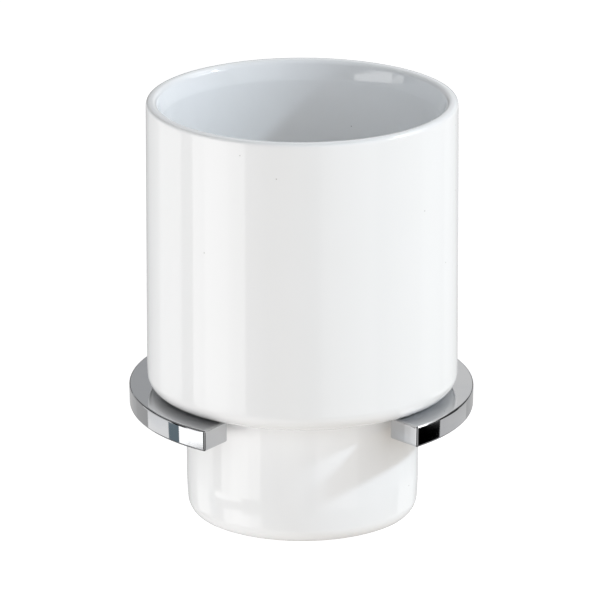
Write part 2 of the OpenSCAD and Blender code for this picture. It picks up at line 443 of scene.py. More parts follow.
@dataclass(frozen=True)
class TurnedSteel(Finish):
    """Plain steel from the lathe, with fine rings about the Y axis."""

    pitch: float = 0.32 * MM
    slant: float = 0.7
    drift: Noise = Noise(220.0)
    drift_turns: float = 2.5
    light: Colour = (0.62, 0.63, 0.64)
    dark: Colour = (0.44, 0.45, 0.46)
    rough: float = 0.24
    stain: Noise = Noise(150.0, 4.0, (0.42, 0.75))
    stain_share: float = 0.5
    stain_rough: float = 0.16
    groove_share: float = 0.06
    groove_rough: float = 0.03
    groove_height: float = 0.5
    depth: float = 0.006 * MM

    def surface(self, graph: Graph, spot: Wire) -> Wire:
        """The turned steel.

        Args:
            graph: Where its nodes go.
            spot: The object's coordinates.

        Returns:
            The shader's output.
        """
        x, y, z = graph.split(spot)
        out = (x * x + z * z).math("SQRT")
        drift, stain = self.drift.over(graph, spot), self.stain.over(graph, spot)
        turns = (out + y * self.slant) * (2.0 * math.pi / self.pitch)
        groove = (turns + drift * self.drift_turns).math("SINE")
        share = stain * self.stain_share + groove * self.groove_share
        return self.principled(
            graph,
            Base_Color=graph.mix(rgba(self.light), rgba(self.dark), share),
            Metallic=1.0,
            Roughness=self.rough + stain * self.stain_rough + groove * self.groove_rough,
            Normal=graph.bump(groove * self.groove_height + drift, self.depth),
        )


@dataclass(frozen=True)
class ScrewSteel(Finish):
    """Bright zinc on steel screws, darker and rougher in the roots of the thread."""

    light: Colour = (0.66, 0.66, 0.67)
    worn_shade: float = 0.8
    root: Colour = (0.3, 0.295, 0.29)
    root_strength: float = 0.8
    cloud: Noise = Noise(900.0, 4.0)
    worn_span: Point = (0.4, 0.7)
    rough: float = 0.25
    worn_rough: float = 0.14
    root_rough: float = 0.2
    depth: float = 0.006 * MM

    def surface(self, graph: Graph, spot: Wire) -> Wire:
        """The zinc, with the attribute that the thread leaves on the mesh.

        Args:
            graph: Where its nodes go.
            spot: The object's coordinates.

        Returns:
            The shader's output.
        """
        root = graph.add("ShaderNodeAttribute", {"attribute_name": ROOT}, output="Fac")
        cloud = self.cloud.over(graph, spot)
        worn = cloud.rise(*self.worn_span)
        tone = graph.mix(rgba(self.light), rgba(darker(self.light, self.worn_shade)), worn)
        return self.principled(
            graph,
            Base_Color=graph.mix(tone, rgba(self.root), root * self.root_strength),
            Metallic=1.0,
            Roughness=self.rough + worn * self.worn_rough + root * self.root_rough,
            Normal=graph.bump(cloud, self.depth),
        )


@dataclass(frozen=True)
class Nylon(Finish):
    """Grey moulded nylon with a fine grain and slightly paler high spots."""

    grey: Colour = (0.56, 0.57, 0.56)
    pale: Colour = (0.66, 0.67, 0.66)
    cloud: Noise = Noise(260.0, 3.0, (0.35, 0.7))
    grain: Noise = Noise(4200.0)
    grain_span: Point = (0.3, 0.7)
    rough: float = 0.5
    grain_rough: float = 0.12
    depth: float = 0.012 * MM

    def surface(self, graph: Graph, spot: Wire) -> Wire:
        """The moulded nylon.

        Args:
            graph: Where its nodes go.
            spot: The object's coordinates.

        Returns:
            The shader's output.
        """
        grain = self.grain.over(graph, spot)
        return self.principled(
            graph,
            Base_Color=graph.mix(rgba(self.grey), rgba(self.pale), self.cloud.over(graph, spot)),
            Roughness=self.rough + grain.rise(*self.grain_span) * self.grain_rough,
            Normal=graph.bump(grain, self.depth),
        )


@dataclass(frozen=True)
class PaleFloor(Finish):
    """The studio's plain white floor, lit from within so that it stays paper white."""

    white: Colour = (0.9, 0.9, 0.9)
    shade: Colour = (0.88, 0.88, 0.88)
    cloud: Noise = Noise(0.7, 1.0)
    rough: float = 0.9
    glow: float = 0.6

    def surface(self, graph: Graph, spot: Wire) -> Wire:
        """The floor.

        Args:
            graph: Where its nodes go.
            spot: The object's coordinates.

        Returns:
            The shader's output.
        """
        return self.principled(
            graph,
            Base_Color=graph.mix(rgba(self.white), rgba(self.shade), self.cloud.over(graph, spot)),
            Roughness=self.rough,
            Emission_Color=rgba(self.white),
            Emission_Strength=self.glow,
        )


GLAZE = Glaze("white_glaze")
CHROME = Chrome("polished_chrome")
TURNED_STEEL = TurnedSteel("plain_steel")
SCREW_STEEL = ScrewSteel("screw_steel")
NYLON = Nylon("grey_nylon")
PALE_FLOOR = PaleFloor("pale_floor")


# Shapes

# How close two points are before they are joined, on any mesh and on a form fresh from the lathe
JOINED = 0.0004 * MM
JOINED_WHEN_TURNED = 0.0005 * MM
# Keeps a point on the axis from being divided by nothing
AXIS_GUARD = 1e-6
# How far a cutter reaches past the faces that it cuts, in millimetres
PAST = 1.0


class Cut(Enum):
    """What one solid does to another."""

    AWAY = "DIFFERENCE"
    ON = "UNION"


def arc(cx: float, cy: float, r: float, a0: float, a1: float, steps: int) -> list[Point]:
    """Points along an arc.

    Args:
        cx: The middle, across.
        cy: The middle, up.
        r: The radius.
        a0: The first angle, in degrees.
        a1: The last angle.
        steps: How many straight steps it has.

    Returns:
        Its points.
    """
    angles = [math.radians(a0 + (a1 - a0) * i / steps) for i in range(steps + 1)]
    return [(cx + r * math.cos(a), cy + r * math.sin(a)) for a in angles]


def bend(poles: Sequence[Point], steps: int) -> list[Point]:
    """Points along a cubic curve.

    Args:
        poles: Its start, the handles that it leaves and arrives along, and its end.
        steps: How many straight steps it has.

    Returns:
        Its points.
    """
    points = []
    for t in (i / steps for i in range(steps + 1)):
        s = 1 - t
        shares = (s**3, 3 * s * s * t, 3 * s * t * t, t**3)
        across, up = (sum(share * pole[k] for share, pole in zip(shares, poles)) for k in (0, 1))
        points.append((across, up))
    return points


def with_steps(points: Sequence[Point], longest: float, edge: float = 0.25) -> list[Point]:
    """Splits the long straight stretches of a profile.

    Args:
        points: The profile.
        longest: The longest step that stays.
        edge: How close to a stretch's ends its first and last new points lie.

    Returns:
        The profile with more points.
    """
    out = [points[0]]
    for (x0, y0), (x1, y1) in zip(points, points[1:]):
        length = math.hypot(x1 - x0, y1 - y0)
        if length > 4 * edge:
            count = max(1, math.ceil((length - 2 * edge) / longest))
            spots = [edge + (length - 2 * edge) * i / count for i in range(count + 1)]
            out += [(x0 + (x1 - x0) * s / length, y0 + (y1 - y0) * s / length) for s in spots]
        out.append((x1, y1))
    return out


def new_tree(name: str, inputs: Mapping[str, str]) -> tuple[Graph, Wire]:
    """Starts a tree of geometry nodes.

    Args:
        name: The tree's name.
        inputs: The type of each named input behind the geometry.

    Returns:
        The graph and the group's input node.
    """
    tree = bpy.data.node_groups.new(name, "GeometryNodeTree")
    for key, kind in {"Geometry": "Geometry", **inputs, "Finish": "Material"}.items():
        tree.interface.new_socket(key, in_out="INPUT", socket_type="NodeSocket" + kind)
    tree.interface.new_socket("Geometry", in_out="OUTPUT", socket_type="NodeSocketGeometry")
    graph = Graph(tree)
    return graph, graph.add("NodeGroupInput")


def close_tree(graph: Graph, given: Wire, shape: Wire) -> bpy.types.NodeTree:
    """Ends a tree of geometry nodes.

    Args:
        graph: The graph.
        given: The group's input node.
        shape: The geometry that it has made.

    Returns:
        The finished tree.
    """
    smooth = graph.add("GeometryNodeSetShadeSmooth", inputs={"Geometry": shape})
    real = graph.add("GeometryNodeRealizeInstances", inputs={"Geometry": smooth})
    inputs = {"Geometry": real, "Material": given.of("Finish")}
    dressed = graph.add("GeometryNodeSetMaterial", inputs=inputs)
    graph.add("NodeGroupOutput", inputs={"Geometry": dressed})
    return graph.tree


@cache
def turning_tree() -> bpy.types.NodeTree:
    """Turns a profile in the XZ plane about the Z axis, like a lathe or a potter's wheel.

    Returns:
        The tree, made once.
    """
    graph, given = new_tree("Turned form", {"Segments": "Int", "Merge Distance": "Float"})
    profile, segments = given.of("Geometry"), given.of("Segments")
    inputs = {"Geometry": profile}
    rows = graph.add("GeometryNodeAttributeDomainSize", {"component": "MESH"}, inputs, "Point Count")
    sheet = graph.add("GeometryNodeMeshGrid", inputs={"Vertices X": segments + 1, "Vertices Y": rows})
    index = graph.add("GeometryNodeInputIndex")
    column = ((index + 0.5) / rows).math("FLOOR")
    here = graph.add("GeometryNodeInputPosition")
    place = graph.add(
        "GeometryNodeSampleIndex",
        {"data_type": "FLOAT_VECTOR", "domain": "POINT"},
        {"Geometry": profile, "Value": here, "Index": index - column * rows},
    )
    radius, _, height = graph.split(place)
    turn = column / segments * (2.0 * math.pi)
    inputs = {"X": radius * turn.math("COSINE"), "Y": radius * turn.math("SINE"), "Z": height}
    point = graph.add("ShaderNodeCombineXYZ", inputs=inputs)
    turned = graph.add("GeometryNodeSetPosition", inputs={"Geometry": sheet, "Position": point})
    inputs = {"Geometry": turned, "Distance": given.of("Merge Distance")}
    closed = graph.add("GeometryNodeMergeByDistance", inputs=inputs)
    return close_tree(graph, given, closed)


@cache
def relief_tree() -> bpy.types.NodeTree:
    """Raises a thread (lead 1) or rings (lead 0) from a turned form.

    Returns:
        The tree, made once.
    """
    names = ["Pitch", "Depth", "Start", "End", "Fade", "Lead", "Crest", "From Radius"]
    graph, given = new_tree("Raised relief", {name: "Float" for name in names})
    x, y, z = graph.split(graph.add("GeometryNodeInputPosition"))
    radius = (x * x + y * y).math("SQRT")
    turn = y.math("ARCTAN2", x) / (2.0 * math.pi)
    phase = (z / given.of("Pitch") - turn * given.of("Lead")).math("FRACT")
    ridge = 1.0 - (phase * 2.0 - 1.0).math("ABSOLUTE")
    crest = (ridge * given.of("Crest")).math("MINIMUM", 1.0)
    fade, start, end = given.of("Fade"), given.of("Start"), given.of("End")
    inside = z.rise(start, start + fade) * (1.0 - z.rise(end - fade, end))
    inside = inside * radius.math("GREATER_THAN", given.of("From Radius"))
    lift = crest * inside * given.of("Depth") / radius.math("MAXIMUM", AXIS_GUARD)
    offset = graph.add("ShaderNodeCombineXYZ", inputs={"X": x * lift, "Y": y * lift})
    rooted = graph.add(
        "GeometryNodeStoreNamedAttribute",
        {"data_type": "FLOAT", "domain": "POINT"},
        {"Geometry": given.of("Geometry"), "Name": ROOT, "Value": inside * (1.0 - crest)},
    )
    raised = graph.add("GeometryNodeSetPosition", inputs={"Geometry": rooted, "Offset": offset})
    return close_tree(graph, given, raised)


@dataclass(frozen=True)
class Relief:
    """A thread or a row of rings on a turned form, in millimetres."""

    pitch: float
    depth: float
    start: float
    end: float
    lead: float = 1.0
    crest: float = 1.35
    fade: float = 1.0
    from_radius: float = 0.5

    def inputs(self) -> dict[str, float]:
        """The values of the tree's inputs, by name.

        Returns:
            The lengths in metres, and the two plain numbers.
        """
        names = ["Pitch", "Depth", "Start", "End", "Fade", "From Radius"]
        lengths = [self.pitch, self.depth, self.start, self.end, self.fade, self.from_radius]
        values = {name: length * MM for name, length in zip(names, lengths)}
        return {**values, "Lead": self.lead, "Crest": self.crest}


class Blank:
    """A piece while it is made: a closed mesh that is turned, cut and put in its place."""

    def __init__(self, name: str, mesh: bpy.types.Mesh) -> None:
        """Shows the mesh, so that modifiers can work on it."""
        self.obj = bpy.data.objects.new(name, mesh)
        bpy.context.scene.collection.objects.link(self.obj)

    @classmethod
    def of_faces(
        cls,
        name: str,
        points: Sequence[Sequence[float]],
        faces: Sequence[Sequence[int]],
        edges: Sequence[tuple[int, int]] = (),
    ) -> "Blank":
        """A blank from points and faces.

        Args:
            name: Its name.
            points: Its points, in millimetres.
            faces: The points of each face.
            edges: The points of each edge, for a profile.

        Returns:
            The blank.
        """
        mesh = bpy.data.meshes.new(name)
        mesh.from_pydata([tuple(c * MM for c in p) for p in points], list(edges), list(faces))
        mesh.update()
        return cls(name, mesh)

    @classmethod
    def turned(cls, name: str, profile: Sequence[Point], finish: Finish, segments: int) -> "Blank":
        """A turned blank.

        Args:
            name: Its name.
            profile: Radius and height along its skin, from axis to axis or round to its start.
            finish: What it is made of.
            segments: How many facets it has round its axis.

        Returns:
            The blank, about the Z axis.
        """
        points = [(r, 0.0, z) for r, z in profile]
        edges = [(i, i + 1) for i in range(len(points) - 1)]
        blank = cls.of_faces(name, points, [], edges)
        values = {"Segments": segments, "Merge Distance": JOINED_WHEN_TURNED, "Finish": finish.material()}
        blank.grow(turning_tree(), values)
        blank.face_out()
        return blank

    @classmethod
    def skinned(cls, name: str, loops: Sequence[Sequence[Sequence[float]]]) -> "Blank":
        """A blank with a skin over its cross-sections, and a flat face on the first and the last.

        Args:
            name: Its name.
            loops: The points round each cross-section, as many in each.

        Returns:
            The blank.
        """
        n, last = len(loops[0]), len(loops) - 1
        sides = [(k * n + i, k * n + (i + 1) % n) for k in range(last) for i in range(n)]
        faces = [(a, b, b + n, a + n) for a, b in sides]
        faces += [tuple(range(n))[::-1], tuple(range(last * n, last * n + n))]
        blank = cls.of_faces(name, [point for loop in loops for point in loop], faces)
        blank.face_out()
        return blank

    @classmethod
    def prism(cls, name: str, outline: Sequence[Point], z0: float, z1: float) -> "Blank":
        """An upright prism.

        Args:
            name: Its name.
            outline: Its outline, seen from above.
            z0: Its lower end.
            z1: Its upper end.

        Returns:
            The blank.
        """
        return cls.skinned(name, [[(x, y, z) for x, y in outline] for z in (z0, z1)])

    def grow(self, tree: bpy.types.NodeTree, values: Mapping[str, object]) -> None:
        """Runs a tree on the blank and keeps the result as a plain mesh.

        Args:
            tree: The tree of geometry nodes.
            values: Its inputs by name, set by their identifiers.
        """
        modifier = self.obj.modifiers.new("Form", "NODES")
        modifier.node_group = tree
        for item in tree.interface.items_tree:
            if item.in_out == "INPUT" and item.name in values:
                modifier[item.identifier] = values[item.name]
        self.settle()

    def settle(self) -> None:
        """Turns the modified shape into the blank's own mesh and removes the modifiers."""
        graph = bpy.context.evaluated_depsgraph_get()
        mesh = bpy.data.meshes.new_from_object(
            self.obj.evaluated_get(graph), preserve_all_data_layers=True, depsgraph=graph
        )
        self.obj.modifiers.clear()
        old, self.obj.data = self.obj.data, mesh
        bpy.data.meshes.remove(old)

    def face_out(self) -> None:
        """Joins double points and makes all faces look outwards."""
        work = bmesh.new()
        work.from_mesh(self.obj.data)
        bmesh.ops.remove_doubles(work, verts=work.verts, dist=JOINED)
        bmesh.ops.recalc_face_normals(work, faces=work.faces)
        if work.calc_volume(signed=True) < 0:
            bmesh.ops.reverse_faces(work, faces=work.faces)
        work.to_mesh(self.obj.data)
        work.free()

    def raise_relief(self, relief: Relief, finish: Finish) -> "Blank":
        """Raises a thread or rings from the blank."""
        self.grow(relief_tree(), {**relief.inputs(), "Finish": finish.material()})
        return self

    def cut(self, other: "Blank", how: Cut = Cut.AWAY) -> "Blank":
        """Takes another blank away from this one, or adds it.

        Args:
            other: The other blank, which is used up.
            how: What it does to this one.

        Returns:
            This blank.
        """
        modifier = self.obj.modifiers.new("Cut", "BOOLEAN")
        modifier.operation = how.value
        modifier.solver = "EXACT"
        modifier.object = other.obj
        self.settle()
        bpy.data.objects.remove(other.obj)
        return self

    def place(self, matrix: Matrix) -> "Blank":
        """Moves the mesh, and not its object."""
        self.obj.data.transform(matrix)
        return self

    def done(self, body: str, finish: Finish, sharp: float = 0.0) -> bpy.types.Object:
        """Finishes the blank as the piece that stands for the CAD node of its name.

        Args:
            body: The body that it rides on.
            finish: Its finish, which has the name of the record's slot.
            sharp: The angle, in degrees, past which an edge is sharp; 0 keeps all smooth.

        Returns:
            The finished piece.
        """
        node = self.obj.name.removesuffix("_dressed")
        mesh = self.obj.data
        mesh.shade_smooth()
        if sharp:
            mesh.set_sharp_from_angle(angle=math.radians(sharp))
            modifier = self.obj.modifiers.new("Shading", "WEIGHTED_NORMAL")
            modifier.keep_sharp = True
            self.settle()
            mesh = self.obj.data
        mesh.materials.clear()
        mesh.materials.append(finish.material())
        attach(self.obj, body)
        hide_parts(node)
        return self.obj


def moved(place: Sequence[float]) -> Matrix:
    """A shift by millimetres."""
    return Matrix.Translation(Vector(place) * MM)


class Side(Enum):
    """A side of the holder, as the word in the names of its pieces."""

    LEFT = "left"
    RIGHT = "right"

    @property
    def sign(self) -> int:
        """The sign of X on this side."""
        return 1 if self is Side.RIGHT else -1


class Way(Enum):
    """Which way a piece made along +Z points, as its turn about the X axis."""

    TO_ROOM = math.pi / 2
    TO_WALL = -math.pi / 2


def on_wall(x: float, out: float, way: Way = Way.TO_ROOM) -> Matrix:
    """Turns what is made along +Z so that it stands square to the wall.

    Args:
        x: Its place to the right, in millimetres.
        out: Its distance from the wall.
        way: Which way its upper end points.

    Returns:
        The placement.
    """
    return moved((x, -out, 0.0)) @ Matrix.Rotation(way.value, 4, "X")


# Sub-assemblies


@dataclass(frozen=True)
class Tumbler:
    """The glazed tumbler, in millimetres from its foot and its axis."""

    body_r: float = 37.5
    height: float = 103.6
    neck_r: float = 28.0
    neck_h: float = 31.4
    wall: float = 3.8
    shoulder_r: float = 4.4
    rim_r: float = 1.6
    rim_power: float = 0.6
    lip_r: float = 1.4
    lip_tilt: float = 14.0
    flare_h: float = 4.4
    flare_end: float = 0.6
    flare_bow: float = 0.3
    step_fillet: float = 1.0
    step_floor: float = 35.2
    inner_corner: float = 3.0
    inner_edge: float = 3.6
    floor: float = 4.6
    floor_corner: float = 5.0
    belly_top: float = 12.0
    belly_in: float = 0.3
    belly_low: float = 4.1
    foot_w: float = 2.6
    recess: float = 1.2
    recess_root: float = 0.5
    recess_edge: float = 0.45
    glaze_h: float = 0.85
    glaze_step: float = 0.16
    axis_y: float = -64.0
    foot_z: float = -28.75
    segments: int = 256

    def rim(self) -> list[Point]:
        """The outer half of the rim, a little fuller than a quarter circle.

        Returns:
            Its points, from the side up to the top.
        """
        quarter = arc(0.0, 0.0, 1.0, 0, 90, 16)
        full = [(max(x, 0.0) ** self.rim_power, z**self.rim_power) for x, z in quarter]
        r, top = self.rim_r, self.height
        return [(self.body_r - r + r * x, top - r + r * z) for x, z in full]

    def underside(self) -> list[Point]:
        """The foot's recess, its bare ring and the curve up to the neck.

        Returns:
            Its points, from the axis outwards.
        """
        drop = self.belly_top - self.belly_low
        sweep = (drop * drop + self.belly_in**2) / (2 * self.belly_in)
        tilt = math.degrees(math.asin(drop / sweep))
        base_r = self.belly_low / (1 - math.sin(math.radians(tilt)))
        turn_r = self.neck_r - self.belly_in - base_r * math.cos(math.radians(tilt))
        base = arc(turn_r, base_r, base_r, -90, -tilt, 28)
        back, up = self.glaze_step * 0.8, self.glaze_step * 0.5
        bare = [(r - back, z + up) for r, z in base if z < self.glaze_h]
        glazed = [(r, z) for r, z in base if z >= self.glaze_h]
        belly = arc(self.neck_r - sweep, self.belly_top, sweep, -tilt, 0, 12)
        in_r, root, edge = turn_r - self.foot_w, self.recess_root, self.recess_edge
        hollow = arc(in_r - self.recess, self.recess - root, root, 90, 45, 4)
        inner = [(r, z + up) for r, z in arc(in_r + edge, edge, edge, -135, -90, 4)]
        return [(0.0, self.recess), *hollow, *inner, *bare, *glazed, *belly[1:]]

    def lip(self) -> list[Point]:
        """The inner half of the rim, and the flare that runs down from it to the even wall.

        Returns:
            Its points, from the top down.
        """
        r, top = self.lip_r, self.height
        roll = arc(self.body_r - self.rim_r, top - r, r, 90, HALF_TURN - self.lip_tilt, 14)
        end_r, end_z = roll[-1]
        low_r, low_z = self.body_r - self.wall, top - self.flare_h - self.flare_end
        drop = (end_z - low_z) * self.flare_bow
        leaving = (end_r - math.tan(math.radians(self.lip_tilt)) * drop, end_z - drop)
        flare = bend([(end_r, end_z), leaving, (low_r, low_z + self.flare_end), (low_r, low_z)], 16)
        return roll[1:] + flare[1:]

    def profile(self) -> list[Point]:
        """The whole skin, over the rim and into the tumbler.

        Returns:
            Its points, from the middle of the foot to the middle of the floor.
        """
        fillet, shoulder = self.step_fillet, self.shoulder_r
        corner, edge, low = self.inner_corner, self.inner_edge, self.floor_corner
        inner_r, neck_in = self.body_r - self.wall, self.neck_r - self.wall
        return [
            *self.underside(),
            *arc(self.neck_r + fillet, self.neck_h - fillet, fillet, 180, 90, 8),
            *arc(self.body_r - shoulder, self.neck_h + shoulder, shoulder, -90, 0, 20),
            *self.rim(),
            *self.lip(),
            *arc(inner_r - corner, self.step_floor + corner, corner, 0, -90, 12),
            *arc(neck_in + edge, self.step_floor - edge, edge, 90, 180, 14),
            *arc(neck_in - low, self.floor + low, low, 0, -90, 14),
            (0.0, self.floor),
        ]

    def build(self) -> list[bpy.types.Object]:
        """Turns the tumbler and glazes it.

        Returns:
            The finished tumbler.
        """
        steps = with_steps(self.profile(), 3.0)
        blank = Blank.turned("tumbler_dressed", steps, GLAZE, segments=self.segments)
        return [blank.place(moved((0.0, self.axis_y, self.foot_z))).done("cup", GLAZE)]


@dataclass(frozen=True)
class HolderRing:
    """The open ring with the boss behind it, in millimetres."""

    axis_y: float = -64.0
    thick: float = 5.3
    bore_r: float = 31.9
    half_w: float = 41.68
    half_l: float = 46.95
    oval_y: float = 4.25
    gap_angle: float = 37.6
    edge_r: float = 0.55
    least_r: float = 0.002
    draft: float = 1.0
    boss_w: float = 28.0
    boss_h: float = 14.0
    boss_from: float = 11.0
    boss_to: float = 25.0
    boss_edge: float = 2.0
    break_edge: float = 0.25
    screw_x: float = 7.0
    hole_r: float = 2.05
    hole_to: float = 21.0
    hole_tip: float = 1.0
    step: float = 1.2
    crisp: float = 32.0

    def reach(self, angle: float) -> float:
        """Distance from the tumbler's axis to the outline.

        Args:
            angle: Degrees from straight ahead.

        Returns:
            The distance.
        """
        s, c = math.sin(math.radians(angle)), math.cos(math.radians(angle))
        a = (s / self.half_w) ** 2 + (c / self.half_l) ** 2
        b = 2 * self.oval_y * c / self.half_l**2
        d = (self.oval_y / self.half_l) ** 2 - 1
        return (math.sqrt(b * b - 4 * a * d) - b) / (2 * a)

    def station(self, angle: float, behind: float, side: Side) -> tuple[Vector, Vector]:
        """The inner and the outer point of one cross-section.

        Args:
            angle: Degrees from straight ahead, without its sign.
            behind: How far the section lies behind the plane at that angle.
            side: The side that the section is on.

        Returns:
            Both points, in the ring's middle plane.
        """
        found = []
        for radius in (lambda a: self.bore_r, self.reach):
            turn = angle
            for _ in range(4):
                turn = angle + math.degrees(math.asin(behind / radius(turn)))
            r, t = radius(turn), math.radians(turn) * side.sign
            found.append(Vector((r * math.sin(t), self.axis_y - r * math.cos(t), 0.0)))
        return found[0], found[1]

    def section(self, inner: Vector, outer: Vector, inset: float) -> list[Vector]:
        """The points round one cross-section.

        Args:
            inner: Its inner point.
            outer: Its outer point.
            inset: How far it is drawn in on all four sides, at the ends of the ring.

        Returns:
            Its points, round once.
        """
        along = (outer - inner).normalized()
        width, r = (outer - inner).length, self.edge_r
        low, high = r - self.thick / 2, self.thick / 2 - r
        lean = math.tan(math.radians(self.draft)) * self.thick
        small = max(r - inset, self.least_r)
        corners = [(width - r - lean, low, -90), (width - r, high, 0), (r, high, 90), (r, low, 180)]
        flat: list[Point] = []
        for a, b, start in corners:
            flat += arc(a, b, small, start, start + 90, 6)
        return [inner + along * a + Vector((0.0, 0.0, b)) for a, b in flat]

    def rounded_end(self, side: Side) -> list[list[Vector]]:
        """The sections that round the edge of one end of the band.

        Args:
            side: The side that the end is on.

        Returns:
            The sections, from the end face on.
        """
        sections = []
        for turn in range(90, -1, -15):
            back = self.edge_r * (1 - math.sin(math.radians(turn)))
            inset = self.edge_r * (1 - math.cos(math.radians(turn)))
            sections.append(self.section(*self.station(self.gap_angle, back, side), inset))
        return sections

    def band(self) -> Blank:
        """The band itself, swept round from one end to the other.

        Returns:
            The band, with rounded edges and ends.
        """
        first, last = self.gap_angle + self.step, FULL_TURN - self.gap_angle - self.step
        steps = round((FULL_TURN - 2 * self.gap_angle) / self.step) - 2
        middle = []
        for i in range(steps + 1):
            turn = first + (last - first) * i / steps
            right = turn <= HALF_TURN
            place = (turn, 0.0, Side.RIGHT) if right else (FULL_TURN - turn, 0.0, Side.LEFT)
            middle.append(self.section(*self.station(*place), 0.0))
        ends = [self.rounded_end(side) for side in (Side.RIGHT, Side.LEFT)]
        loops = [*ends[0], *middle, *reversed(ends[1])]
        return Blank.skinned("holder_ring_dressed", loops)

    def boss(self) -> Blank:
        """The boss, a bar with round ends that is bevelled towards the tumbler.

        Returns:
            The boss, in its place.
        """
        end_r, edge, e = self.boss_h / 2, self.boss_edge, self.break_edge
        reach = self.boss_w / 2 - end_r
        length = self.boss_to - self.boss_from
        loops = []
        for inset, z in [(e, 0.0), (0.0, e), *arc(edge, length - edge, edge, 180, 90, 8)]:
            right = arc(reach, 0.0, end_r - inset, -90, 90, 20)
            left = arc(-reach, 0.0, end_r - inset, 90, 270, 20)
            loops.append([(x, y, z) for x, y in right + left])
        return Blank.skinned("boss", loops).place(on_wall(0.0, self.boss_from))

    def build(self) -> list[bpy.types.Object]:
        """Joins the band and the boss, drills them and plates them.

        Returns:
            The finished ring.
        """
        ring = self.band().cut(self.boss(), Cut.ON)
        r, low, high = self.hole_r, self.boss_from - PAST, self.hole_to
        profile = [(0.0, low), (r, low), (r, high - self.hole_tip), (0.0, high)]
        for x in (-self.screw_x, self.screw_x):
            ring.cut(Blank.turned("hole", profile, CHROME, segments=32).place(on_wall(x, 0.0)))
        return [ring.done("wall_holder", CHROME, self.crisp)]


@dataclass(frozen=True)
class WallCover:
    """The round cover behind the tumbler and the disc inside it, in millimetres."""

    inner_r: float = 19.2
    outer_r: float = 23.0
    depth: float = 11.0
    front: float = 3.0
    edge_r: float = 1.5
    back_edge_r: float = 0.4
    inner_corner: float = 0.6
    screw_x: float = 7.0
    shank_r: float = 2.2
    head_r: float = 4.1
    flare: float = 1.2
    set_screw_out: float = 3.5
    set_hole_r: float = 2.55
    set_flare_w: float = 1.15
    set_flare_h: float = 1.3
    disc_r: float = 19.0
    disc_t: float = 7.0
    groove: float = 1.5
    relief_r: float = 6.0
    relief: float = 2.0
    wall_screw_x: float = 12.0
    break_edge: float = 0.25
    crisp: float = 30.0

    def seat(self, x: float, out: float, thick: float, way: Way) -> Blank:
        """The cutter for a countersunk hole.

        Args:
            x: Its place to the right.
            out: Distance from the wall to the face that the head lies in.
            thick: How thick the plate is.
            way: Which way the head faces.

        Returns:
            The cutter.
        """
        shank, head, low = self.shank_r, self.head_r, -thick - PAST
        profile = [
            (0.0, low), (shank + self.flare, low), (shank, low + self.flare),
            (shank, shank - head), (head, 0.0), (head + PAST, PAST), (0.0, PAST),
        ]
        return Blank.turned("seat", profile, CHROME, segments=48).place(on_wall(x, out, way))

    def cover(self) -> bpy.types.Object:
        """The chrome cover, open to the wall.

        Returns:
            The finished cover.
        """
        e, front_z = self.break_edge, self.depth - self.front
        corner, back = self.inner_corner, self.back_edge_r
        profile = [
            (0.0, front_z),
            (self.inner_r - corner, front_z),
            *arc(self.inner_r - corner, front_z - corner, corner, 90, 0, 5),
            (self.inner_r, e),
            (self.inner_r + e, 0.0),
            *arc(self.outer_r - back, back, back, -90, 0, 5),
            *arc(self.outer_r - self.edge_r, self.depth - self.edge_r, self.edge_r, 0, 90, 12),
            (0.0, self.depth),
        ]
        blank = Blank.turned("wall_cover_dressed", with_steps(profile, 2.5), CHROME, segments=192)
        blank.place(on_wall(0.0, 0.0))
        for x in (-self.screw_x, self.screw_x):
            blank.cut(self.seat(x, front_z, self.front, Way.TO_WALL))
        blank.cut(self.set_hole())
        return blank.done("wall_holder", CHROME, self.crisp)

    def set_hole(self) -> Blank:
        """The cutter for the set screw's hole, upright and flared below.

        Returns:
            The cutter.
        """
        low, high, r = -self.outer_r - PAST, PAST - self.inner_r, self.set_hole_r
        top = low + self.set_flare_h
        profile = [(0.0, low), (r + self.set_flare_w, low), (r, top), (r, high), (0.0, high)]
        blank = Blank.turned("tapped", profile, CHROME, segments=40)
        return blank.place(moved((0.0, -self.set_screw_out, 0.0)))

    def disc(self) -> bpy.types.Object:
        """The steel disc, with its groove, its relief and its two countersunk holes.

        Returns:
            The finished disc.
        """
        e, r, t, hub = self.break_edge, self.disc_r, self.disc_t, self.relief_r
        mid, groove = self.set_screw_out, self.groove
        profile = [
            (0.0, 0.0), (r - e, 0.0), (r, e), (r, mid - groove), (r - groove, mid), (r, mid + groove),
            (r, t - e), (r - e, t), (hub + e, t), (hub, t - e), (hub, t - self.relief),
            (0.0, t - self.relief),
        ]
        steps = with_steps(profile, 2.5)
        blank = Blank.turned("wall_disc_dressed", steps, TURNED_STEEL, segments=160)
        blank.place(on_wall(0.0, 0.0))
        for x in (-self.wall_screw_x, self.wall_screw_x):
            blank.cut(self.seat(x, self.disc_t, self.disc_t, Way.TO_ROOM))
        return blank.done("wall_holder", TURNED_STEEL, self.crisp)

    def build(self) -> list[bpy.types.Object]:
        """Makes the cover and the disc."""
        return [self.cover(), self.disc()]


